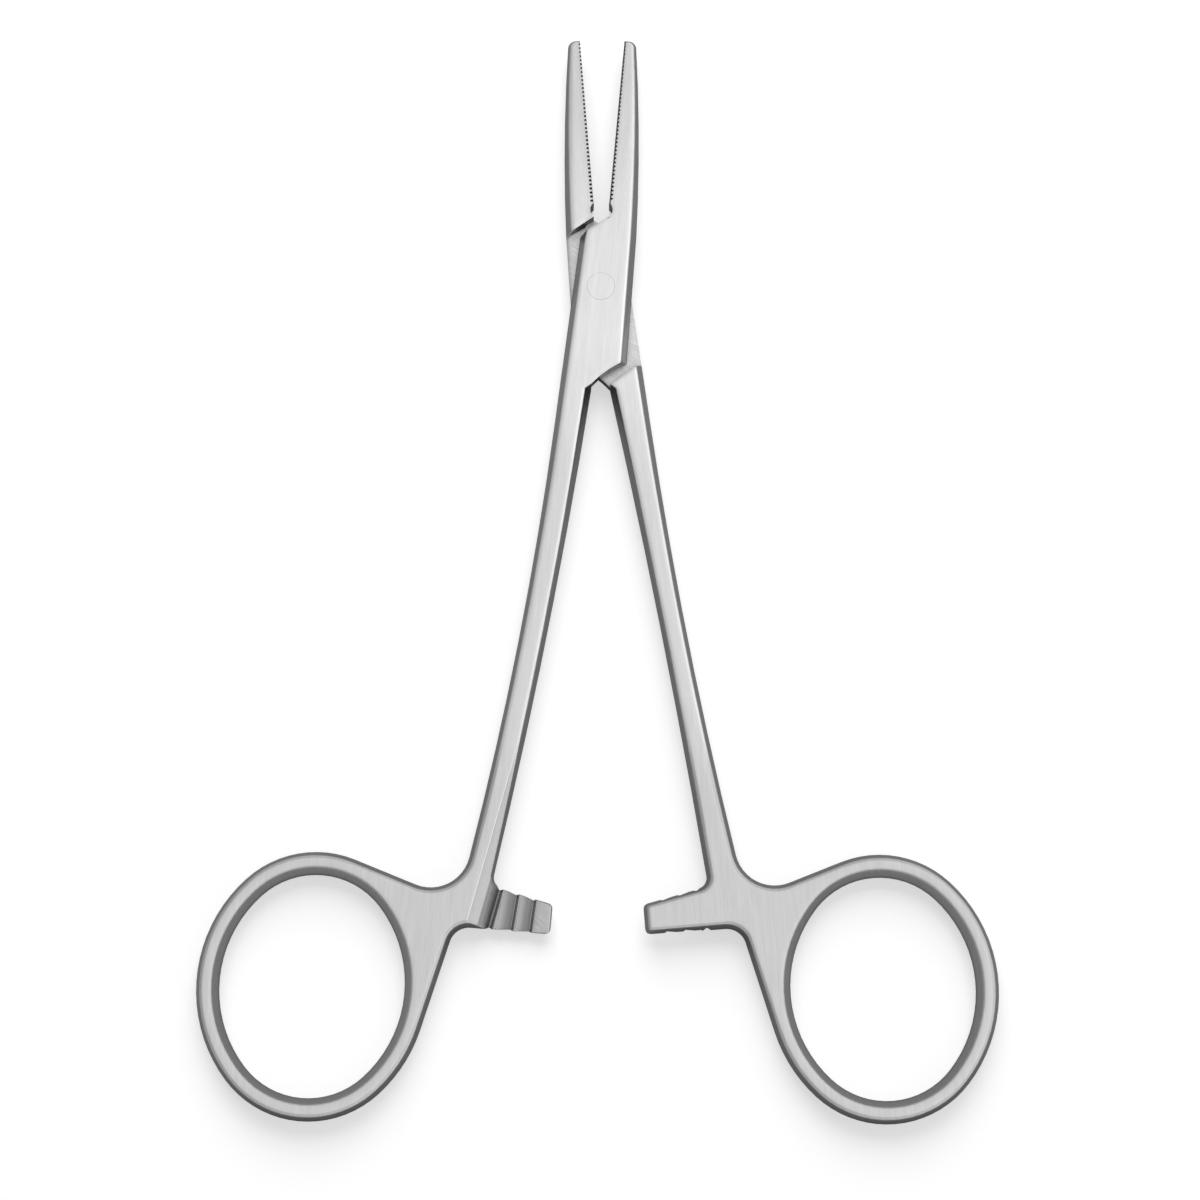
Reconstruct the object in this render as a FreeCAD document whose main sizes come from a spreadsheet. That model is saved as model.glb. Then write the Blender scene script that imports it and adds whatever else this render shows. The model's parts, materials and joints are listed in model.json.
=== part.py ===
import FreeCAD, Part
import math
import os

import Sketcher
from FreeCAD import Placement, Rotation, Vector

# Driving dimensions, millimetres and degrees
#
# Each limb is described closed and flat: the pivot is the origin, the jaws meet on x = 0,
# the jaw points to +Y, z = 0 is the parting plane of the forging and the jaw lies on the +X side.
# Reaches are distances from the pivot along Y, upwards for the jaw and downwards for the rest.
SIZES = {
    "open_angle": 9.96,
    "draft_angle": 19,
    "edge_radius": 0.14,
    "jaw_edge_radius": 0.4,
    "running_gap": 0.04,
    # Jaw
    "jaw_reach": 29.2,
    "jaw_tip_width": 1.33,
    "jaw_middle_reach": 16.2,
    "jaw_middle_width": 2.83,
    "jaw_root_reach": 6.1,
    "jaw_root_width": 3.46,
    "jaw_tip_corner": 0.2,
    "jaw_tip_thickness": 1.9,
    "bite_gap": 0.02,
    # Serrations of the jaw face
    "serration_pitch": 0.476,
    "serration_depth": 0.05,
    "serration_floor": 0.2,
    "serration_flank": 0.2,
    "serration_slant": 10,
    "bite_draft": 2,
    "serration_count": 40,
    "serration_start": 0.42,
    "relief_reach": 9.75,
    "relief_depth": 0.5,
    # Lap joint
    "lap_thickness": 4.1,
    "lap_half_width": 3.74,
    "lap_flat_reach": 8,
    "jaw_crown_radius": 200,
    "shank_crown_radius": 300,
    "lap_left_top": 2.9,
    "jaw_shoulder_reach": 8.2,
    "jaw_shoulder_angle": 29,
    "jaw_cut_angle": 37,
    "shank_shoulder_reach": 11.4,
    "shank_shoulder_angle": 31,
    "shank_cut_angle": 39,
    "shank_cut_bow": 0.35,
    "shoulder_gap": 0.2,
    "rivet_radius": 1.25,
    "rivet_flare": 0.3,
    "rivet_clearance": 0.02,
    # Shank, its outer and inner edges measured from the closing plane
    "shank_top_reach": 16,
    "shank_middle_reach": 47,
    "shank_blend_reach": 3,
    "shank_thickness": 3.2,
    "shank_thin_reach": 30,
    "closing_gap": 0.05,
    "inner_corner_drop": 0.5,
    "front_top_out": 3.8,
    "front_crotch_out": 9.5,
    "front_middle_in": 3.17,
    "rear_top_out": 4.3,
    "rear_crotch_out": 10.5,
    "rear_middle_in": 4.3,
    # Finger ring
    "ring_reach": 81.4,
    "ring_offset": 24.65,
    "ring_hole_half_width": 10.25,
    "ring_hole_half_length": 12.35,
    "ring_side_radius": 14,
    "ring_wall": 2.58,
    "ring_thickness": 2.9,
    "ring_hole_draft": 30,
    "neck_angle": 13,
    "ring_shoulder_angle": 17,
    "crotch_radius": 4.4,
    # Ratchet arm
    "arm_above_ring": 10.4,
    "arm_root_rise": 2.6,
    "arm_tip_rise": 1.15,
    "arm_drop": 2.35,
    "arm_tip": 1.15,
    "front_arm_root": 5.9,
    "rear_arm_root": 6.3,
    "arm_tip_corner": 0.1,
    "arm_top_radius": 1.2,
    "arm_bottom_radius": 2.2,
    "arm_root_width": 4,
    "arm_gap": 0.1,
    "arm_edge": 0.3,
    "tooth_count": 3,
    "tooth_pitch": 2.0,
    "tooth_depth": 0.6,
    "tooth_lean": 0.38,
    "tooth_slant": 3,
    "tooth_tip": 0.82,
    "scoop_slant": 10.5,
    "scoop_edge": 7.75,
    "scoop_length": 2.4,
    "scoop_bulge": 0.25,
    "scoop_run": 24,
}
BEYOND = 4  # how far cutting outlines run past the metal
SMOOTH = "smooth"  # in an outline, an arc that leaves the edge before it without a corner
FLAT_RISE = 0.99  # least upright share of a flat's normal
SIDE_RISE = (0.2, 0.7)  # least and greatest upright share of a drafted side's normal


def fill_sheet(doc):
    sheet = doc.addObject("Spreadsheet::Sheet", "Sizes")
    for row, (name, value) in enumerate(SIZES.items(), start=1):
        sheet.set(f"A{row}", name)
        sheet.set(f"B{row}", str(value))
        sheet.setAlias(f"B{row}", name)
    doc.recompute()
    return sheet


class Edge:
    """One straight or round edge of an outline, from one corner to the next."""

    def __init__(self, start, end, via=None, side=None):
        """via is a point that an arc passes through, side the left of the edge it leaves smoothly."""
        self.start, self.end = start, end
        self.straight = via is None and side is None
        if self.straight:
            along = (end - start).normalize()
            self.left = Vector(-along.y, along.x, 0)
        elif via:
            circle = Part.Arc(start, via, end).toShape().Curve
            self.centre, self.radius = circle.Center, circle.Radius
            self.turn = math.copysign(1, (via - start).cross(end - via).z)
        else:
            reach = (end - start).dot(end - start) / (2 * (end - start).dot(side))
            self.centre, self.radius = start + side * reach, abs(reach)
            self.turn = math.copysign(1, reach)

    def gap(self, point):
        """Signed distance of a point to the left of the edge."""
        if self.straight:
            return (point - self.start).dot(self.left)
        return self.turn * (self.radius - (point - self.centre).Length)

    def side(self, point):
        """Unit vector towards the left of the edge at a point."""
        if self.straight:
            return self.left
        return (self.centre - point).normalize() * self.turn

    def foot(self, point):
        """The place on the edge's line or circle nearest to a point."""
        if self.straight:
            return point - self.left * self.gap(point)
        return self.centre + (point - self.centre).normalize() * self.radius


def rounding_centre(before, after, radius):
    """Centre of the arc of this radius that touches two edges near the corner between them."""
    corner = before.end
    sign = math.copysign(1, before.side(corner).cross(after.side(corner)).z)
    point = corner
    for _ in range(30):
        one, two = before.side(point), after.side(point)
        miss_one = sign * radius - before.gap(point)
        miss_two = sign * radius - after.gap(point)
        scale = one.x * two.y - one.y * two.x
        step_x = (miss_one * two.y - miss_two * one.y) / scale
        step_y = (miss_two * one.x - miss_one * two.x) / scale
        point = point + Vector(step_x, step_y, 0)
    return point


def arc_between(centre, start, end, turn):
    """A sketch arc and the numbers of its ends, for a path that turns left (1) or right (-1)."""
    angles = [math.atan2(p.y - centre.y, p.x - centre.x) for p in (start, end)]
    if turn < 0:
        angles.reverse()
    if angles[1] < angles[0]:
        angles[1] += 2 * math.pi
    circle = Part.Circle(centre, Vector(0, 0, 1), (start - centre).Length)
    ends = (1, 2) if turn > 0 else (2, 1)
    return Part.ArcOfCircle(circle, *angles), ends


class Drawing:
    """A sketch in a body whose corners, arcs and roundings are tied to the sheet."""

    def __init__(self, body, sheet, name, plane, offset=None):
        self.sheet = sheet
        self.sketch = body.newObject("Sketcher::SketchObject", name)
        origin = next(f for f in body.Origin.OriginFeatures if f.Role == plane)
        self.sketch.AttachmentSupport = [(origin, "")]
        self.sketch.MapMode = "FlatFace"
        if offset:
            self.sketch.AttachmentOffset = Placement(Vector(0, 0, 0), Rotation(Vector(0, 1, 0), 1))
            for place, size in {"Rotation.Angle": "0", **offset}.items():
                self.sketch.setExpression(f"AttachmentOffset.{place}", size)
        self.rules = []
        self.ties = []

    def number(self, size):
        return float(self.sheet.evalExpression(size))

    def point(self, place):
        return Vector(self.number(place[0]), self.number(place[1]), 0)

    def tie(self, geometry, end, place):
        """Ties one point of the sketch to two sizes, across and up."""
        where = self.point(place)
        for axis, value, size in (("DistanceX", where.x, place[0]), ("DistanceY", where.y, place[1])):
            self.ties.append((len(self.rules), size))
            self.rules.append(Sketcher.Constraint(axis, geometry, end, value))

    def marker(self, place):
        """A construction point tied to the sheet."""
        number = self.sketch.addGeometry(Part.Point(self.point(place)), True)
        self.tie(number, 1, place)
        return number

    def outline(self, corners):
        """Adds a closed outline.

        A corner is (x, y), with an optional rounding radius, and with an optional fourth part
        that makes the edge to the next corner an arc: a point that the arc passes through, or
        SMOOTH for an arc that leaves the edge before it without a corner.
        """
        corners = [tuple(corner) + (None,) * (4 - len(corner)) for corner in corners]
        places = [self.point(corner) for corner in corners]
        count = len(corners)
        edges = []
        for i, (_, _, _, via) in enumerate(corners):
            if via == SMOOTH:
                edges.append(Edge(places[i], places[(i + 1) % count], side=edges[-1].side(places[i])))
            else:
                edges.append(Edge(places[i], places[(i + 1) % count], via and self.point(via)))
        centres = []
        for i, (_, _, radius, _) in enumerate(corners):
            centres.append(radius and rounding_centre(edges[i - 1], edges[i], self.number(radius)))
        drawn = []
        for i, edge in enumerate(edges):
            here, there = centres[i], centres[(i + 1) % count]
            start = edge.foot(here) if here else edge.start
            end = edge.foot(there) if there else edge.end
            if edge.straight:
                shape, ends = Part.LineSegment(start, end), (1, 2)
            else:
                shape, ends = arc_between(edge.centre, start, end, edge.turn)
            drawn.append((self.sketch.addGeometry(shape, False), ends))
        for i, (x, y, radius, via) in enumerate(corners):
            line, ends = drawn[i]
            line_before, ends_before = drawn[i - 1]
            if via and via != SMOOTH:
                self.rules.append(Sketcher.Constraint("PointOnObject", self.marker(via), 1, line))
            if not radius:
                join = "Tangent" if via == SMOOTH else "Coincident"
                self.rules.append(Sketcher.Constraint(join, line_before, ends_before[1], line, ends[0]))
                self.tie(line, ends[0], (x, y))
                continue
            mark = self.marker((x, y))
            self.rules.append(Sketcher.Constraint("PointOnObject", mark, 1, line_before))
            self.rules.append(Sketcher.Constraint("PointOnObject", mark, 1, line))
            start, end = edges[i - 1].foot(centres[i]), edges[i].foot(centres[i])
            turn = math.copysign(1, (end - start).cross(centres[i] - start).z)
            shape, round_ends = arc_between(centres[i], start, end, turn)
            arc = self.sketch.addGeometry(shape, False)
            for one, one_end, two, two_end in ((line_before, ends_before[1], arc, round_ends[0]),
                                               (arc, round_ends[1], line, ends[0])):
                self.rules.append(Sketcher.Constraint("Tangent", one, one_end, two, two_end))
            self.ties.append((len(self.rules), radius))
            self.rules.append(Sketcher.Constraint("Radius", arc, self.number(radius)))
        return self

    def circle(self, place, radius):
        circle = Part.Circle(self.point(place), Vector(0, 0, 1), self.number(radius))
        number = self.sketch.addGeometry(circle, False)
        self.tie(number, 3, place)
        self.ties.append((len(self.rules), radius))
        self.rules.append(Sketcher.Constraint("Radius", number, self.number(radius)))
        return self

    def close(self):
        """Hands the rules to the sketch and ties them to the sheet."""
        self.sketch.addConstraint(self.rules)
        for number, size in self.ties:
            self.sketch.setExpression(f"Constraints[{number}]", size)
        self.sketch.Visibility = False
        return self.sketch


def both_ways(body, kind, name, sketch, up, down, draft=None):
    """A pad or pocket that runs from its sketch to both sides, with the same draft on both."""
    feature = body.newObject(f"PartDesign::{kind}", name)
    feature.Profile = sketch
    feature.SideType = "Two sides"
    feature.setExpression("Length", up)
    feature.setExpression("Length2", down)
    if draft:
        feature.setExpression("TaperAngle", draft)
        feature.setExpression("TaperAngle2", draft)
    body.Document.recompute()
    return feature


def one_way(body, kind, name, sketch, length, back=False):
    """A pad or pocket that runs from its sketch to one side, or to the other one."""
    feature = body.newObject(f"PartDesign::{kind}", name)
    feature.Profile = sketch
    feature.Reversed = back
    feature.setExpression("Length", length)
    body.Document.recompute()
    return feature


def fillet_face_edges(body, name, radius, chosen):
    """Rounds the chosen ones of the sharp edges where the flats of a limb meet its drafted sides."""
    doc = body.Document
    base = body.Tip
    names = []
    for number, edge in enumerate(base.Shape.Edges, start=1):
        faces = base.Shape.ancestorsOfType(edge, Part.Face)
        if len(faces) != 2:
            continue
        middle = edge.valueAt((edge.FirstParameter + edge.LastParameter) / 2)
        rises = []
        for face in faces:
            u, v = face.Surface.parameter(middle)
            rises.append(abs(face.normalAt(u, v).z))
        if max(rises) > FLAT_RISE and SIDE_RISE[0] < min(rises) < SIDE_RISE[1] and chosen(middle):
            names.append(f"Edge{number}")
    fillet = body.newObject("PartDesign::Fillet", name)
    fillet.Base = (base, names)
    fillet.setExpression("Radius", radius)
    doc.recompute()
    return fillet


def pivot_axis(body):
    """The pivot's own axis."""
    return next(f for f in body.Origin.OriginFeatures if f.Role == "Z_Axis")


def rivet_profile(gap, past):
    """Half section of the rivet, grown by a gap and run past both faces."""
    half = "Sizes.lap_thickness / 2"
    shank = f"Sizes.rivet_radius + {gap}"
    head = f"Sizes.rivet_radius + Sizes.rivet_flare + {gap}"
    profile = [
        ("0", f"-{half} - {past}"),
        (head, f"-{half} - {past}"),
        (head, f"-{half}"),
        (shank, f"-{half} + Sizes.rivet_flare"),
        (shank, f"{half} - Sizes.rivet_flare"),
        (head, half),
        (head, f"{half} + {past}"),
        ("0", f"{half} + {past}"),
    ]
    if past:
        return profile
    return profile[:1] + profile[2:6] + profile[7:]


def broken_edge(sign, side, top):
    """Section of the cut that breaks an edge of the arm.

    sign is "-" for an edge that faces the other way.
    """
    edge = "Sizes.arm_edge"
    return [
        (f"{side} {sign or '+'} {edge}", f"{top} - 2 * {edge}"),
        (f"{side} {sign or '+'} {edge}", f"{top} + {edge}"),
        (f"{side} {'+' if sign else '-'} 2 * {edge}", f"{top} + {edge}"),
    ]


def limb(doc, sheet, name, hand, phase, hole_gap):
    """One forged limb, closed and flat.

    hand picks the limb's own shank sizes, phase shifts its serrations along the jaw and
    hole_gap is the play of the rivet in it.
    """
    body = doc.addObject("PartDesign::Body", name)
    body.Label = name
    half = "Sizes.lap_thickness / 2"
    face_inset = f"{half} * tan(Sizes.draft_angle)"
    top_out = f"Sizes.{hand}_top_out"
    far = f"(Sizes.lap_half_width + {BEYOND})"
    arm_reach = "(Sizes.ring_reach - Sizes.arm_above_ring)"
    arm_bottom = f"(-{arm_reach} - Sizes.arm_drop)"

    # Jaw and lap block, with stock past the jaw face and past the lap's lower end
    lap_slope = f"({top_out} - Sizes.lap_left_top) / (Sizes.shank_top_reach + Sizes.jaw_root_reach)"
    jaw = Drawing(body, sheet, "jaw_outline", "XY_Plane").outline([
        (f"-{top_out}", "-Sizes.shank_top_reach"),
        (f"-{top_out} + {lap_slope} * (Sizes.shank_top_reach + Sizes.relief_reach)", "Sizes.relief_reach"),
        ("-Sizes.jaw_tip_width", "Sizes.jaw_reach"),
        ("Sizes.jaw_tip_width", "Sizes.jaw_reach", f"Sizes.jaw_tip_corner + {face_inset}",
         ("Sizes.jaw_middle_width", "Sizes.jaw_middle_reach")),
        ("Sizes.jaw_root_width", "Sizes.jaw_root_reach"),
        ("Sizes.lap_half_width", "-Sizes.shank_shoulder_reach"),
        ("Sizes.lap_half_width", "-Sizes.shank_top_reach"),
    ]).close()
    both_ways(body, "Pad", "jaw_forging", jaw, half, half, "-Sizes.draft_angle")

    # The lap's lower end, cut square with a slight bow
    cut_rise = "tan(Sizes.shank_cut_angle)"
    cut_start = "(Sizes.shoulder_gap - Sizes.shank_shoulder_reach)"
    cut_low = f"-Sizes.shank_top_reach - {BEYOND}"
    lap_end = Drawing(body, sheet, "lap_end_outline", "XY_Plane").outline([
        ("0", cut_start, None,
         ("Sizes.lap_half_width / 2",
          f"{cut_start} + {cut_rise} * Sizes.lap_half_width / 2 + Sizes.shank_cut_bow")),
        ("Sizes.lap_half_width", f"{cut_start} + {cut_rise} * Sizes.lap_half_width"),
        (far, f"{cut_start} + {cut_rise} * Sizes.lap_half_width"),
        (far, cut_low),
        (f"-{far}", cut_low),
        (f"-{far}", f"{cut_start} - {cut_rise} * {far}"),
    ]).close()
    both_ways(body, "Pocket", "lap_end_cut", lap_end, half, half)

    # Shank, finger ring and ratchet arm. The ring is an oval of four arcs: its side arcs are
    # centred side_shift past the ring's centre, its end arcs end_shift up and down from it.
    side_shift = "(Sizes.ring_side_radius - Sizes.ring_hole_half_width)"
    end_radius = (f"((Sizes.ring_side_radius^2 - {side_shift}^2 - Sizes.ring_hole_half_length^2)"
                  " / (2 * (Sizes.ring_side_radius - Sizes.ring_hole_half_length)))")
    end_shift = f"(Sizes.ring_hole_half_length - {end_radius})"
    join_angle = f"atan({end_shift} / {side_shift})"

    def on_ring(side, height, wall):
        """Where a side arc and an end arc of the oval meet, a wall outside the ring's hole."""
        reach = f"(Sizes.ring_side_radius + {wall})"
        across = f"({reach} * cos({join_angle}) - {side_shift})"
        return (f"-Sizes.ring_offset {side} {across}",
                f"-Sizes.ring_reach {height} {reach} * sin({join_angle})")

    wall = "Sizes.ring_wall"
    outer_side = f"(Sizes.ring_side_radius + {wall})"
    inner_centre = f"(-Sizes.ring_offset - {side_shift})"
    neck_x = f"({inner_centre} + {outer_side} * cos(Sizes.neck_angle))"
    neck_y = f"(-Sizes.ring_reach - {outer_side} * sin(Sizes.neck_angle))"
    neck_via = f"((Sizes.neck_angle * 1 deg + {join_angle}) / 2)"
    outer_end = f"({end_radius} + {wall})"
    shoulder_x = f"(-Sizes.ring_offset + {outer_end} * sin(Sizes.ring_shoulder_angle))"
    shoulder_y = f"(-Sizes.ring_reach + {end_shift} + {outer_end} * cos(Sizes.ring_shoulder_angle))"
    crotch_x = f"-Sizes.{hand}_crotch_out"
    blank = Drawing(body, sheet, "shank_outline", "XY_Plane").outline([
        (f"-{top_out} + {lap_slope} * (Sizes.shank_top_reach - Sizes.shank_blend_reach)",
         "-Sizes.shank_blend_reach"),
        (f"-{top_out}", "-Sizes.shank_top_reach", None, SMOOTH),
        (crotch_x, f"{shoulder_y} - ({crotch_x} - {shoulder_x}) * tan(Sizes.ring_shoulder_angle)",
         "Sizes.crotch_radius"),
        (shoulder_x, shoulder_y, None,
         ("-Sizes.ring_offset", f"-Sizes.ring_reach + Sizes.ring_hole_half_length + {wall}")),
        (*on_ring("-", "+", wall), None,
         (f"-Sizes.ring_offset - Sizes.ring_hole_half_width - {wall}", "-Sizes.ring_reach")),
        (*on_ring("-", "-", wall), None,
         ("-Sizes.ring_offset", f"-Sizes.ring_reach - Sizes.ring_hole_half_length - {wall}")),
        (*on_ring("+", "-", wall), None,
         (f"{inner_centre} + {outer_side} * cos({neck_via})",
          f"-Sizes.ring_reach - {outer_side} * sin({neck_via})")),
        (neck_x, neck_y),
        (f"{neck_x} + ({arm_bottom} - {neck_y}) * tan(Sizes.neck_angle)", arm_bottom,
         "Sizes.arm_bottom_radius"),
        ("Sizes.arm_tip", arm_bottom, f"Sizes.arm_tip_corner + {face_inset}"),
        ("Sizes.arm_tip", f"-{arm_reach} + Sizes.arm_tip_rise", f"Sizes.arm_tip_corner + {face_inset}"),
        (f"-Sizes.{hand}_arm_root", f"-{arm_reach} + Sizes.arm_root_rise", "Sizes.arm_top_radius",
         (f"-Sizes.{hand}_middle_in", "-Sizes.shank_middle_reach")),
        ("-Sizes.closing_gap", f"{cut_start} - Sizes.inner_corner_drop"),
        ("-Sizes.closing_gap", "-Sizes.jaw_shoulder_reach"),
    ]).close()
    both_ways(body, "Pad", "shank_forging", blank, half, half, "-Sizes.draft_angle")

    # Thickness: both faces are ground to one profile along the limb
    for face, sign in (("front", ""), ("back", "-")):
        profile = Drawing(body, sheet, f"{face}_profile", "YZ_Plane").outline([
            ("Sizes.jaw_reach", f"{sign}Sizes.jaw_tip_thickness / 2"),
            ("Sizes.lap_flat_reach", f"{sign}{half}", "Sizes.jaw_crown_radius"),
            ("-Sizes.shank_shoulder_reach", f"{sign}{half}", "Sizes.shank_crown_radius"),
            ("-Sizes.shank_thin_reach", f"{sign}Sizes.shank_thickness / 2", "Sizes.shank_crown_radius"),
            (f"-Sizes.ring_reach - Sizes.ring_hole_half_length - {wall} - {BEYOND}",
             f"{sign}Sizes.ring_thickness / 2"),
            (f"-Sizes.ring_reach - Sizes.ring_hole_half_length - {wall} - {BEYOND}",
             f"{sign}({half} + {BEYOND})"),
            ("Sizes.jaw_reach", f"{sign}({half} + {BEYOND})"),
        ]).close()
        run = "2 * Sizes.ring_offset"
        both_ways(body, "Pocket", f"{face}_grinding", profile, run, run)

    # Finger hole, drafted both ways from the parting plane
    hole = Drawing(body, sheet, "hole_outline", "XY_Plane").outline([
        (*on_ring("+", "+", "0"), None,
         ("-Sizes.ring_offset", "-Sizes.ring_reach + Sizes.ring_hole_half_length")),
        (*on_ring("-", "+", "0"), None,
         ("-Sizes.ring_offset - Sizes.ring_hole_half_width", "-Sizes.ring_reach")),
        (*on_ring("-", "-", "0"), None,
         ("-Sizes.ring_offset", "-Sizes.ring_reach - Sizes.ring_hole_half_length")),
        (*on_ring("+", "-", "0"), None,
         ("-Sizes.ring_offset + Sizes.ring_hole_half_width", "-Sizes.ring_reach")),
    ]).close()
    both_ways(body, "Pocket", "finger_hole", hole, half, half, "Sizes.ring_hole_draft")
    fillet_face_edges(body, "jaw_edges", "Sizes.jaw_edge_radius", lambda place: place.x > 0 or place.y > 0)
    fillet_face_edges(body, "face_edges", "Sizes.edge_radius", lambda place: True)

    # Half lap, cut from the back between its two shoulders
    jaw_slope = "tan(Sizes.jaw_shoulder_angle)"
    shank_slope = "tan(Sizes.shank_shoulder_angle)"
    lap = Drawing(body, sheet, "lap_outline", "XY_Plane").outline([
        (f"-{far}", f"-Sizes.shank_shoulder_reach + {shank_slope} * {far}"),
        (far, f"-Sizes.shank_shoulder_reach - {shank_slope} * {far}"),
        (far, f"Sizes.jaw_shoulder_reach - {jaw_slope} * {far}"),
        (f"-{far}", f"Sizes.jaw_shoulder_reach + {jaw_slope} * {far}"),
    ]).close()
    both_ways(body, "Pocket", "half_lap", lap, half, "Sizes.running_gap / 2")

    # Jaw face, its relief notch and the lap's upper end, cut square
    face = "Sizes.bite_gap / 2"
    corner = "(Sizes.jaw_shoulder_reach - Sizes.shoulder_gap)"
    tip = f"Sizes.jaw_reach + {BEYOND}"
    jaw_face = Drawing(body, sheet, "jaw_face_outline", "XY_Plane").outline([
        (face, tip),
        (face, "Sizes.relief_reach", None,
         ("Sizes.relief_depth", f"(Sizes.relief_reach + {corner}) / 2")),
        (face, corner),
        (f"-{far}", f"{corner} - tan(Sizes.jaw_cut_angle) * {far}"),
        (f"-{far}", tip),
    ]).close()
    both_ways(body, "Pocket", "jaw_face", jaw_face, half, half)

    # The bite face leans back a little from its middle line towards both flats
    lean = f"({face} + {half} * tan(Sizes.bite_draft))"
    bite = Drawing(body, sheet, "bite_outline", "XZ_Plane", {"Base.z": "-Sizes.relief_reach"}).outline([
        (face, "0"),
        (lean, half),
        (f"-{far}", half),
        (f"-{far}", f"-{half}"),
        (lean, f"-{half}"),
    ]).close()
    one_way(body, "Pocket", "bite_face", bite, "Sizes.jaw_reach")

    # Serrations across the bite face: square notches that deepen towards both flats
    first = f"(Sizes.jaw_reach - Sizes.serration_start - {phase} * Sizes.serration_pitch)"
    outside = f"({half} * tan(Sizes.serration_slant) + Sizes.serration_depth)"
    floor = "Sizes.serration_floor / 2"
    mouth = f"({floor} + ({outside} + Sizes.serration_depth) * Sizes.serration_flank)"
    for side, sign, back in (("upper", "", True), ("lower", "-", False)):
        groove = Drawing(body, sheet, f"{side}_groove_outline", "XY_Plane", {
            "Rotation.Angle": f"{sign}Sizes.serration_slant",
        }).outline([
            (f"{face} - {outside}", f"{first} + {mouth}"),
            (f"{face} + Sizes.serration_depth", f"{first} + {floor}"),
            (f"{face} + Sizes.serration_depth", f"{first} - {floor}"),
            (f"{face} - {outside}", f"{first} - {mouth}"),
        ]).close()
        cut = one_way(body, "Pocket", f"{side}_serration", groove, f"2 * {half}", back)
        row = body.newObject("PartDesign::LinearPattern", f"{side}_serrations")
        row.Originals = [cut]
        row.Direction = (groove, ["V_Axis"])
        row.Reversed = True
        row.setExpression("Length", "(Sizes.serration_count - 1) * Sizes.serration_pitch")
        row.setExpression("Occurrences", "Sizes.serration_count")
        body.Tip = row
        doc.recompute()

    # Rivet hole, flared at both faces
    bore = Drawing(body, sheet, "bore_outline", "XZ_Plane").outline(rivet_profile(hole_gap, BEYOND)).close()
    drilled = body.newObject("PartDesign::Groove", "rivet_hole")
    drilled.Profile = bore
    drilled.ReferenceAxis = (bore, ["V_Axis"])
    drilled.Angle = 360
    doc.recompute()

    # Ratchet arm: its front half is scooped away down to the first tooth and the tooth tips
    arm_top = "-Sizes.arm_gap / 2"
    root_z = f"({arm_top} - Sizes.tooth_depth)"
    first_tip = "(-Sizes.tooth_tip - (Sizes.tooth_count - 1) * Sizes.tooth_pitch)"
    scoop_end = "(-Sizes.scoop_edge + Sizes.scoop_length)"
    ring_half = "Sizes.ring_thickness / 2"
    scoop = Drawing(body, sheet, "scoop_outline", "XZ_Plane", {
        "Base.z": arm_reach,
        "Rotation.Angle": "-Sizes.scoop_slant",
    }).outline([
        ("-Sizes.scoop_edge", ring_half, None,
         (f"(-Sizes.scoop_edge + {scoop_end}) / 2 + Sizes.scoop_bulge",
          f"({ring_half} + {root_z}) / 2 + Sizes.scoop_bulge")),
        (scoop_end, root_z),
        (f"{first_tip} - Sizes.tooth_lean", root_z),
        (first_tip, arm_top),
        (f"Sizes.arm_tip + {BEYOND}", arm_top),
        (f"Sizes.arm_tip + {BEYOND}", f"{half} + {BEYOND}"),
        ("-Sizes.scoop_edge", f"{half} + {BEYOND}"),
    ]).close()
    both_ways(body, "Pocket", "arm_scoop", scoop, "Sizes.scoop_run", "Sizes.scoop_run")

    # Ratchet teeth: the notches between the tips fan out about the pivot
    notch = Drawing(body, sheet, "notch_outline", "XZ_Plane", {
        "Base.z": arm_reach,
        "Rotation.Angle": "-Sizes.tooth_slant",
    }).outline([
        ("-Sizes.tooth_tip", arm_top),
        ("-Sizes.tooth_tip - Sizes.tooth_lean", root_z),
        ("-Sizes.tooth_tip - Sizes.tooth_pitch", arm_top),
    ]).close()
    run = "Sizes.arm_root_width"
    first_notch = both_ways(body, "Pocket", "ratchet_notch", notch, run, run)
    teeth = body.newObject("PartDesign::PolarPattern", "ratchet_teeth")
    teeth.Originals = [first_notch]
    teeth.Axis = (pivot_axis(body), [""])
    teeth.Reversed = True
    teeth.Mode = "Spacing"
    teeth.setExpression("Offset", f"atan(Sizes.tooth_pitch / {arm_reach})")
    teeth.setExpression("Occurrences", "Sizes.tooth_count - 1")
    body.Tip = teeth
    doc.recompute()

    # The arm's upper edges are broken, so that each tooth tip has cut corners
    start = f"({first_tip} - Sizes.tooth_lean)"
    fall = f"atan((Sizes.arm_root_rise - Sizes.arm_tip_rise) / (Sizes.{hand}_arm_root + Sizes.arm_tip))"
    start_top = f"(-{arm_reach} + Sizes.arm_root_rise - ({start} + Sizes.{hand}_arm_root) * tan({fall}))"
    for side, across, turn, sign in (("top", start_top, f"-{fall}", ""), ("bottom", arm_bottom, "0", "-")):
        corner = Drawing(body, sheet, f"arm_{side}_outline", "YZ_Plane", {
            "Base.x": across,
            "Base.z": start,
            "Rotation.Angle": turn,
        }).outline(broken_edge(sign, "0", arm_top)).close()
        one_way(body, "Pocket", f"arm_{side}_edge", corner, f"Sizes.arm_tip - {start} + {BEYOND}", True)
    corner = Drawing(body, sheet, "arm_tip_outline", "XZ_Plane", {"Base.z": arm_reach}).outline(
        broken_edge("", "Sizes.arm_tip", arm_top)).close()
    both_ways(body, "Pocket", "arm_tip_edge", corner, run, run)
    return body


def rivet(doc, sheet, name):
    body = doc.addObject("PartDesign::Body", name)
    body.Label = name
    section = Drawing(body, sheet, "rivet_outline", "XZ_Plane").outline(rivet_profile("0", 0)).close()
    pin = body.newObject("PartDesign::Revolution", "rivet_pin")
    pin.Profile = section
    pin.ReferenceAxis = (section, ["V_Axis"])
    pin.Angle = 360
    doc.recompute()
    return body


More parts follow.
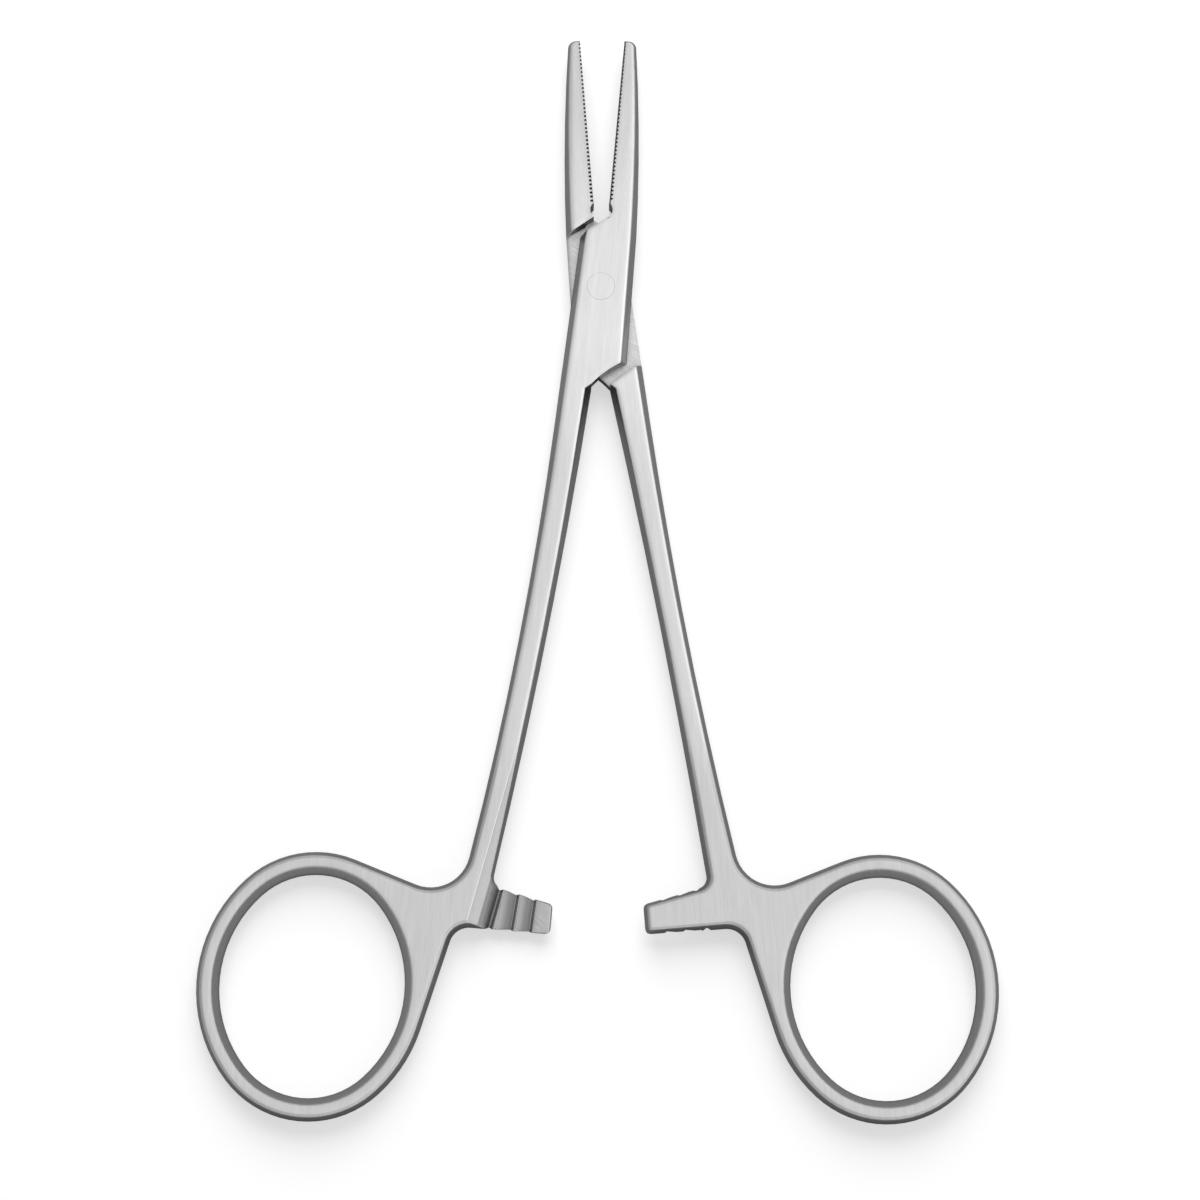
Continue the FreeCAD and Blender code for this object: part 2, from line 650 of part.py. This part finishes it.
def check(doc, pieces):
    for thing in doc.Objects:
        if "Invalid" in thing.State or "Error" in thing.State:
            raise RuntimeError(f"{thing.Name} failed: {thing.State}")
    for piece in pieces:
        shape = piece.Shape
        if shape.isNull() or not shape.isValid() or len(shape.Solids) != 1:
            raise RuntimeError(f"{piece.Label} is not one sound solid")


def main():
    doc = FreeCAD.newDocument("artery_forceps")
    sheet = fill_sheet(doc)
    front = limb(doc, sheet, "front_limb", "front", "0", "Sizes.rivet_clearance")
    rear = limb(doc, sheet, "rear_limb", "rear", "0.5", "0")
    pin = rivet(doc, sheet, "pivot_rivet")
    pieces = [front, rear, pin]

    # The two limbs are the same way round about the long axis, each turned by half the opening
    upright = Vector(0, 0, 1)
    turned = Rotation(Vector(0, 1, 0), 180)
    half_open = SIZES["open_angle"] / 2
    front.Placement.Rotation = Rotation(upright, -half_open)
    rear.Placement.Rotation = Rotation(upright, half_open).multiply(turned)
    doc.recompute()
    check(doc, pieces)

    # The origin is the middle of the box round the whole forceps, on the surface they lie on
    box = FreeCAD.BoundBox()
    for piece in pieces:
        box.add(piece.Shape.optimalBoundingBox(False, False))
    for piece in pieces:
        piece.Placement.Base = Vector(-box.Center.x, -box.Center.y, -box.ZMin)
    doc.recompute()
    check(doc, pieces)

    os.makedirs("parts", exist_ok=True)
    for piece in pieces:
        piece.Shape.exportStep(f"parts/{piece.Label}.step")
        volume = piece.Shape.Volume
        print(f"{piece.Label}: {volume:.1f} mm3, {len(piece.Shape.Faces)} faces")
    print(f"pivot at {pin.Placement.Base}, box {box.XLength:.2f} x {box.YLength:.2f} x {box.ZLength:.2f}")


main()
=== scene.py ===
import json
import math

import bpy
from mathutils import Matrix, Vector

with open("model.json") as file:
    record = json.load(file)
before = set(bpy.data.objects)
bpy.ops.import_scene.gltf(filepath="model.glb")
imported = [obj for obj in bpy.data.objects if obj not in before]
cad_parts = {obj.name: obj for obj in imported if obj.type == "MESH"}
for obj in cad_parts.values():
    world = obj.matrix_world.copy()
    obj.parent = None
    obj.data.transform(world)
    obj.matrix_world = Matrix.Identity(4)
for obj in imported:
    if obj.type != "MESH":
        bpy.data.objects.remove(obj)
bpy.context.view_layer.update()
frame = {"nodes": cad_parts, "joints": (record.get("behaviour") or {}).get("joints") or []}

# Lengths in metres and angles in degrees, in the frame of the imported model
MM = 0.001
OPEN_ANGLE = frame["joints"][0]["range_deg"][1]
PIVOT = Vector(frame["joints"][0]["pos_m"])

# Camera: nearly straight above, tipped a little towards the finger rings
CAMERA_DISTANCE = 500 * MM
CAMERA_TILT = 8.5
CAMERA_ROLL = 0.28
CAMERA_NEAR = 10 * MM
VIEW_WIDTH = 134.64 * MM
VIEW_AIM = Vector((0.06 * MM, PIVOT.y - 35.54 * MM, PIVOT.z))
SENSOR_WIDTH = 36

# Light: a pale room, brighter to the right, and a soft lamp that leans over the jaws' end
LAMP_SIZE = 0.7
LAMP_HEIGHT = 0.8
LAMP_LEAN = 46
LAMP_POWER = 5.0
WORLD_SPAN = (-0.8, 0.8)
WORLD_LEFT = 0.7
WORLD_RIGHT = 1.4
WORLD_ON_FLOOR = 0.25
FLOOR_SIZE = 4
FLOOR_GREY = 0.72
FLOOR_ROUGHNESS = 0.9
FLOOR_GLOW = 0.55

# Places on a closed limb, from the pivot: each pair runs from none of a finish to all of it
RIVET_EDGE = (1.8 * MM, 2.2 * MM)
JAW_START = (5 * MM, 8 * MM)
BITE_SIDE = (1.2 * MM, 0.9 * MM)
BITE_START = (7.8 * MM, 8.2 * MM)
BITE_LEAN = math.tan(math.radians(2))
GROOVE_DEPTH = (0.02 * MM, 0.04 * MM)
JAW_STRIP_SIDE = (0.26 * MM, 0.16 * MM)
LAP_HEIGHT = (0.1 * MM, 0.08 * MM)
SCOOP_START = (-52 * MM, -56 * MM)
ARM_END = (-60 * MM, -62 * MM)
NOTCH_DEPTH = (0.02 * MM, 0.4 * MM)
NOTCH_LIMIT = (0.9 * MM, 0.8 * MM)

# Upright share of the normal, in the same kind of pairs
SIDE_RISE = (0.15, 0.3)
FLAT_RISE = (0.35, 0.75)
GROOVE_RISE = (0.4, 0.25)
NOTCH_RISE = (0.5, 0.8)
SCOOP_RISE = (0.7, 0.8)
SCOOP_SLOPE = (0.99, 0.97)

# Greys of the steel, and shares of them: the flats keep the steel's own grey, the sides, cuts, hollows,
# notches, jaw teeth, lap, rims and scoop get painted shade, and sharp edges a painted highlight
FLAT_GREY = 0.68
SIDE_SHADE_GREY = 0.23
CUT_SHADE_GREY = 0.2
SHADE_BLACK = 0.02
NOTCH_SHADE_GREY = 0.14
HIGHLIGHT_GREY = 0.95
OCCLUSION_SHADE_SHARE = 0.5
NOTCH_SHADE_SHARE = 0.8
JAW_STRIP_SHADE = 0.95
LAP_SHADE_SHARE = 0.8
RIM_SHADE_SHARE = 0.7
SCOOP_SHADE_SHARE = 0.72
EDGE_HIGHLIGHT = 0.95

# Painted sheen and shade: how bright the flats are painted along a closed limb, in place of how their
# reflections change, from the foot of the ring to the jaw tip
PAINTED_SHEEN_SPAN = (-95 * MM, 33 * MM)
PAINTED_SHEEN = ((-60 * MM, 0.88), (-48 * MM, 0.98), (-22 * MM, 1), (-6 * MM, 1.15), (5 * MM, 1.12), (22 * MM, 0.93))

# Rounding that only the shading has: radius, samples, and how far the normal turns near an edge
# The narrow rounding also marks the sharp edges that get a painted highlight
EDGE_ROUND_AND_HIGHLIGHT = (0.1 * MM, 6, (0.99, 0.85))
# The wide rounding also marks the rims where the flats are painted darker as shade
SOFT_RIM = (0.9 * MM, 8, (1, 0.6))
SHANK_CROWN = 0.5
JAW_CROWN = 0.9
HOLLOW_REACH = 1.0 * MM
HOLLOW_SAMPLES = 8
HOLLOW_OPEN = (0.9, 0.35)

# Streaks: width and length, then the noise that they spread and what they spread it to
STREAK_DETAIL = 2
FINE_STREAKS = (0.04 * MM, 3 * MM)
FINE_TONE = (0.3, 0.7, 0.93, 1.05)
FINE_ROUGHNESS = (0.3, 0.7, 0.33, 0.27)
BROAD_STREAKS = (0.5 * MM, 9 * MM)
BROAD_TONE = (0.3, 0.7, 0.96, 1.03)
LAP_SCRATCHES = (0.05 * MM, 2 * MM)
LAP_SLANT = 55
LAP_TONE = (0.35, 0.65, 0.86, 1.15)
BUMP_STRENGTH = 0.12
BUMP_HEIGHT = 0.01 * MM


def grey(level):
    return level, level, level, 1


class Nodes:
    """Adds nodes to one tree; an input is either a plain value or another node's output."""

    def __init__(self, tree):
        self.tree = tree

    def put(self, value, socket):
        if hasattr(value, "links"):
            self.tree.links.new(value, socket)
        else:
            socket.default_value = value

    def add(self, kind, inputs=(), **settings):
        """A node with its settings, and its inputs as pairs of a socket's name or number and a value."""
        node = self.tree.nodes.new(f"ShaderNode{kind}")
        for name, setting in settings.items():
            setattr(node, name, setting)
        for key, value in inputs:
            self.put(value, node.inputs[key])
        return node

    def spread(self, value, low, high, to_low=0, to_high=1):
        limits = (("From Min", low), ("From Max", high), ("To Min", to_low), ("To Max", to_high))
        return self.add("MapRange", (("Value", value), *limits)).outputs["Result"]

    def computed(self, kind, *values):
        return self.add("Math", enumerate(values), operation=kind).outputs[0]

    def product(self, first, *others):
        for other in others:
            first = self.computed("MULTIPLY", first, other)
        return first

    def mixed(self, kind, share, one, two):
        inputs = (("Factor", share), ("A", one), ("B", two))
        return self.add("Mix", inputs, data_type="RGBA", blend_type=kind).outputs["Result"]

    def turned(self, share, one, two):
        inputs = (("Factor", share), ("A", one), ("B", two))
        return self.add("Mix", inputs, data_type="VECTOR").outputs["Result"]


def new_material(name):
    """A material, the helper for its nodes and its shader's inputs."""
    material = bpy.data.materials.new(name)
    material.use_nodes = True
    return material, Nodes(material.node_tree), material.node_tree.nodes["Principled BSDF"].inputs


def steel(name, turn, jaw_strip_shaded):
    """Satin steel brushed along a limb that is turned about the upright axis.

    The flats are bright and finely brushed, with painted shade towards their rims; the drafted
    sides and square cuts are painted darker as shade, hollows get painted shade and sharp edges a
    painted highlight. When the third argument is set, a near-black strip of painted shade runs
    along the limb's row of jaw teeth.
    """
    material, nodes, shader = new_material(name)
    shader["Metallic"].default_value = 1

    # Places on the closed limb, from the pivot: x across it, y along it, z up from mid height
    upright_turn = Matrix.Rotation(math.radians(turn), 3, "Z")
    place = nodes.add("TexCoord").outputs["Object"]
    moves = (("Rotation", upright_turn.to_euler()), ("Location", -(upright_turn @ PIVOT)))
    along = nodes.add("Mapping", (("Vector", place), *moves)).outputs["Vector"]
    x, y, z = nodes.add("SeparateXYZ", (("Vector", along),)).outputs
    across = nodes.computed("ABSOLUTE", x)
    height = nodes.computed("ABSOLUTE", z)
    from_rivet = nodes.computed(
        "SQRT", nodes.computed("ADD", nodes.computed("POWER", x, 2), nodes.computed("POWER", y, 2)))
    off_rivet = nodes.spread(from_rivet, *RIVET_EDGE)
    jaw = nodes.spread(y, *JAW_START)
    bite = nodes.product(nodes.spread(across, *BITE_SIDE), jaw)
    true_normal = nodes.add("NewGeometry").outputs["Normal"]

    def streaks(size, slant=0):
        """Noise drawn out along the limb."""
        width, length = size
        moves = (("Rotation", (0, 0, math.radians(slant))), ("Scale", (width, length, width)))
        stretch = nodes.add("Mapping", (("Vector", along), *moves), vector_type="TEXTURE").outputs["Vector"]
        noise = (("Vector", stretch), ("Scale", 1), ("Detail", STREAK_DETAIL))
        return nodes.add("TexNoise", noise).outputs["Fac"]

    def rim(radius, samples, limits):
        """How near an edge is, and the normal that the edge would have if it were round."""
        rounded = nodes.add("Bevel", (("Radius", radius),), samples=samples).outputs["Normal"]
        turn_away = nodes.add("VectorMath", ((0, rounded), (1, true_normal)), operation="DOT_PRODUCT")
        near = nodes.spread(turn_away.outputs["Value"], *limits)
        return nodes.product(near, off_rivet), rounded

    # Edges and rims are rounded in the shading, but not where the joint is ground flush
    edge, edge_normal = rim(*EDGE_ROUND_AND_HIGHLIGHT)
    # Near the flats' rims the colour is painted darker as shade
    shade, rim_normal = rim(*SOFT_RIM)
    off_bite = nodes.computed("SUBTRACT", 1, bite)
    crown = nodes.product(nodes.spread(jaw, 0, 1, SHANK_CROWN, JAW_CROWN), off_bite)
    normal = nodes.turned(off_rivet, true_normal, edge_normal)
    normal = nodes.turned(nodes.product(off_rivet, crown), normal, rim_normal)

    # The upright share of the normal tells flats, drafted sides and square cuts apart
    shaded_rise, rise = (
        nodes.computed("ABSOLUTE", nodes.add("SeparateXYZ", (("Vector", leaning),)).outputs["Z"])
        for leaning in (normal, true_normal))
    flat = nodes.spread(shaded_rise, *FLAT_RISE)
    # The lap faces at mid height are painted darker as the shade of their recess, and keep their own
    # scratches
    lapped = nodes.product(flat, nodes.spread(height, *LAP_HEIGHT))
    # The slope where the shank runs into the ratchet arm is painted darker as shade
    scoop = nodes.product(
        nodes.spread(rise, *SCOOP_SLOPE), nodes.spread(y, *SCOOP_START), nodes.spread(rise, *SCOOP_RISE))

    # Grooves lie behind the jaw teeth's faces, which lean outwards from mid height, and are painted
    # near-black as their shade
    behind = nodes.computed("SUBTRACT", across, nodes.product(height, BITE_LEAN))
    groove = nodes.product(bite, nodes.spread(rise, *GROOVE_RISE), nodes.spread(behind, *GROOVE_DEPTH))
    # A strip along the front limb's jaw teeth is painted near-black as shade
    jaw_strip_shade = nodes.product(
        nodes.spread(y, *BITE_START),
        nodes.spread(across, *JAW_STRIP_SIDE, 0, JAW_STRIP_SHADE if jaw_strip_shaded else 0), flat)

    # Painted shade: darker towards the bottom of the ratchet's notches, and wherever little light comes in
    notch = nodes.product(
        nodes.spread(height, *NOTCH_DEPTH), nodes.spread(height, *NOTCH_LIMIT),
        nodes.spread(y, *ARM_END), nodes.spread(rise, *NOTCH_RISE, 0, NOTCH_SHADE_SHARE))
    # Occlusion painted into the colour as shade, left out around the rivet
    hollow = nodes.add("AmbientOcclusion", (("Distance", HOLLOW_REACH),), samples=HOLLOW_SAMPLES)
    closed = nodes.product(nodes.spread(hollow.outputs["AO"], *HOLLOW_OPEN, 0, OCCLUSION_SHADE_SHARE), off_rivet)
    # Sharp edges get a painted highlight, less of it where the occlusion paints shade
    edge_highlight = nodes.product(edge, nodes.computed("SUBTRACT", EDGE_HIGHLIGHT, closed))

    # Painted sheen along the limb, brightest about the lap
    low, high = PAINTED_SHEEN_SPAN
    sheen_ramp = nodes.add("ValToRGB", (("Fac", nodes.spread(y, low, high)),))
    stops = sheen_ramp.color_ramp.elements
    for reach, level in PAINTED_SHEEN:
        stops.new((reach - low) / (high - low)).color = grey(level)
    stops.remove(stops[0])
    stops.remove(stops[-1])

    fine = streaks(FINE_STREAKS)
    # Sides and square cuts are painted darker as shade, in place of the dark room they mirror
    colour = nodes.mixed("MIX", nodes.spread(rise, *SIDE_RISE), grey(CUT_SHADE_GREY), grey(SIDE_SHADE_GREY))
    for kind, share, tone in (
            ("MIX", flat, grey(FLAT_GREY)),
            ("MULTIPLY", 1, sheen_ramp.outputs["Color"]),
            ("MULTIPLY", scoop, grey(SCOOP_SHADE_SHARE)),
            ("MULTIPLY", lapped, grey(LAP_SHADE_SHARE)),
            ("MULTIPLY", nodes.product(shade, flat), grey(RIM_SHADE_SHARE)),
            ("MULTIPLY", 1, nodes.spread(fine, *FINE_TONE)),
            ("MULTIPLY", 1, nodes.spread(streaks(BROAD_STREAKS), *BROAD_TONE)),
            ("MULTIPLY", lapped, nodes.spread(streaks(LAP_SCRATCHES, LAP_SLANT), *LAP_TONE)),
            ("MIX", notch, grey(NOTCH_SHADE_GREY)),
            ("MIX", closed, grey(SHADE_BLACK)),
            ("MIX", edge_highlight, grey(HIGHLIGHT_GREY)),
            ("MIX", groove, grey(SHADE_BLACK)),
            ("MIX", jaw_strip_shade, grey(SHADE_BLACK))):
        colour = nodes.mixed(kind, share, colour, tone)
    nodes.put(colour, shader["Base Color"])
    nodes.put(nodes.spread(fine, *FINE_ROUGHNESS), shader["Roughness"])

    brushed = (("Strength", BUMP_STRENGTH), ("Distance", BUMP_HEIGHT), ("Height", fine), ("Normal", normal))
    nodes.put(nodes.add("Bump", brushed).outputs["Normal"], shader["Normal"])
    return material


def finish_limbs():
    half_open = OPEN_ANGLE / 2
    for node, turn in (("front_limb", half_open), ("rear_limb", -half_open), ("pivot_rivet", half_open)):
        part = frame["nodes"][node]
        part.data.materials.clear()
        part.data.materials.append(steel(f"{node}_steel", turn, node == "front_limb"))


def lay_floor():
    """A pale floor that takes the object's shadow; to the camera it has a glow of its own."""
    bpy.ops.mesh.primitive_plane_add(size=FLOOR_SIZE, location=(0, 0, 0))
    floor = bpy.context.object
    floor.name = "floor"
    material, nodes, shader = new_material("pale_floor")
    shader["Base Color"].default_value = grey(FLOOR_GREY)
    shader["Roughness"].default_value = FLOOR_ROUGHNESS
    shader["Specular IOR Level"].default_value = 0
    shader["Emission Color"].default_value = grey(1)
    seen = nodes.add("LightPath").outputs["Is Camera Ray"]
    nodes.put(nodes.product(seen, FLOOR_GLOW), shader["Emission Strength"])
    floor.data.materials.append(material)


def light_room():
    """A pale room that the steel mirrors and the floor sees dimmer, and a soft lamp above."""
    world = bpy.data.worlds.new("studio")
    bpy.context.scene.world = world
    world.use_nodes = True
    nodes = Nodes(world.node_tree)
    direction = nodes.add("SeparateXYZ", (("Vector", nodes.add("TexCoord").outputs["Generated"]),))
    level = nodes.spread(direction.outputs["X"], *WORLD_SPAN, WORLD_LEFT, WORLD_RIGHT)
    mirrored = nodes.add("LightPath").outputs["Is Glossy Ray"]
    share = nodes.spread(mirrored, 0, 1, WORLD_ON_FLOOR)
    background = world.node_tree.nodes["Background"].inputs
    background["Color"].default_value = grey(1)
    nodes.put(nodes.product(share, level), background["Strength"])

    lamp = bpy.data.lights.new("softbox", "AREA")
    lamp.shape = "SQUARE"
    lamp.size = LAMP_SIZE
    lamp.energy = LAMP_POWER
    lamp_object = bpy.data.objects.new("softbox", lamp)
    lamp_object.visible_glossy = False
    lean = math.radians(LAMP_LEAN)
    lamp_object.matrix_world = Matrix.Rotation(-lean, 4, "X") @ Matrix.Translation((0, 0, LAMP_HEIGHT))
    bpy.context.scene.collection.objects.link(lamp_object)


def place_camera():
    camera = bpy.data.cameras.new("camera")
    camera.sensor_width = SENSOR_WIDTH
    camera.lens = SENSOR_WIDTH * CAMERA_DISTANCE / VIEW_WIDTH
    camera.clip_start = CAMERA_NEAR
    camera_object = bpy.data.objects.new("camera", camera)
    tilt = Matrix.Rotation(math.radians(CAMERA_TILT), 4, "X")
    roll = Matrix.Rotation(math.radians(CAMERA_ROLL), 4, "Z")
    away = Matrix.Translation((0, 0, CAMERA_DISTANCE))
    camera_object.matrix_world = Matrix.Translation(VIEW_AIM) @ tilt @ roll @ away
    bpy.context.scene.collection.objects.link(camera_object)
    bpy.context.scene.camera = camera_object


place_camera()
finish_limbs()
lay_floor()
light_room()
bpy.context.scene.view_settings.view_transform = "Standard"
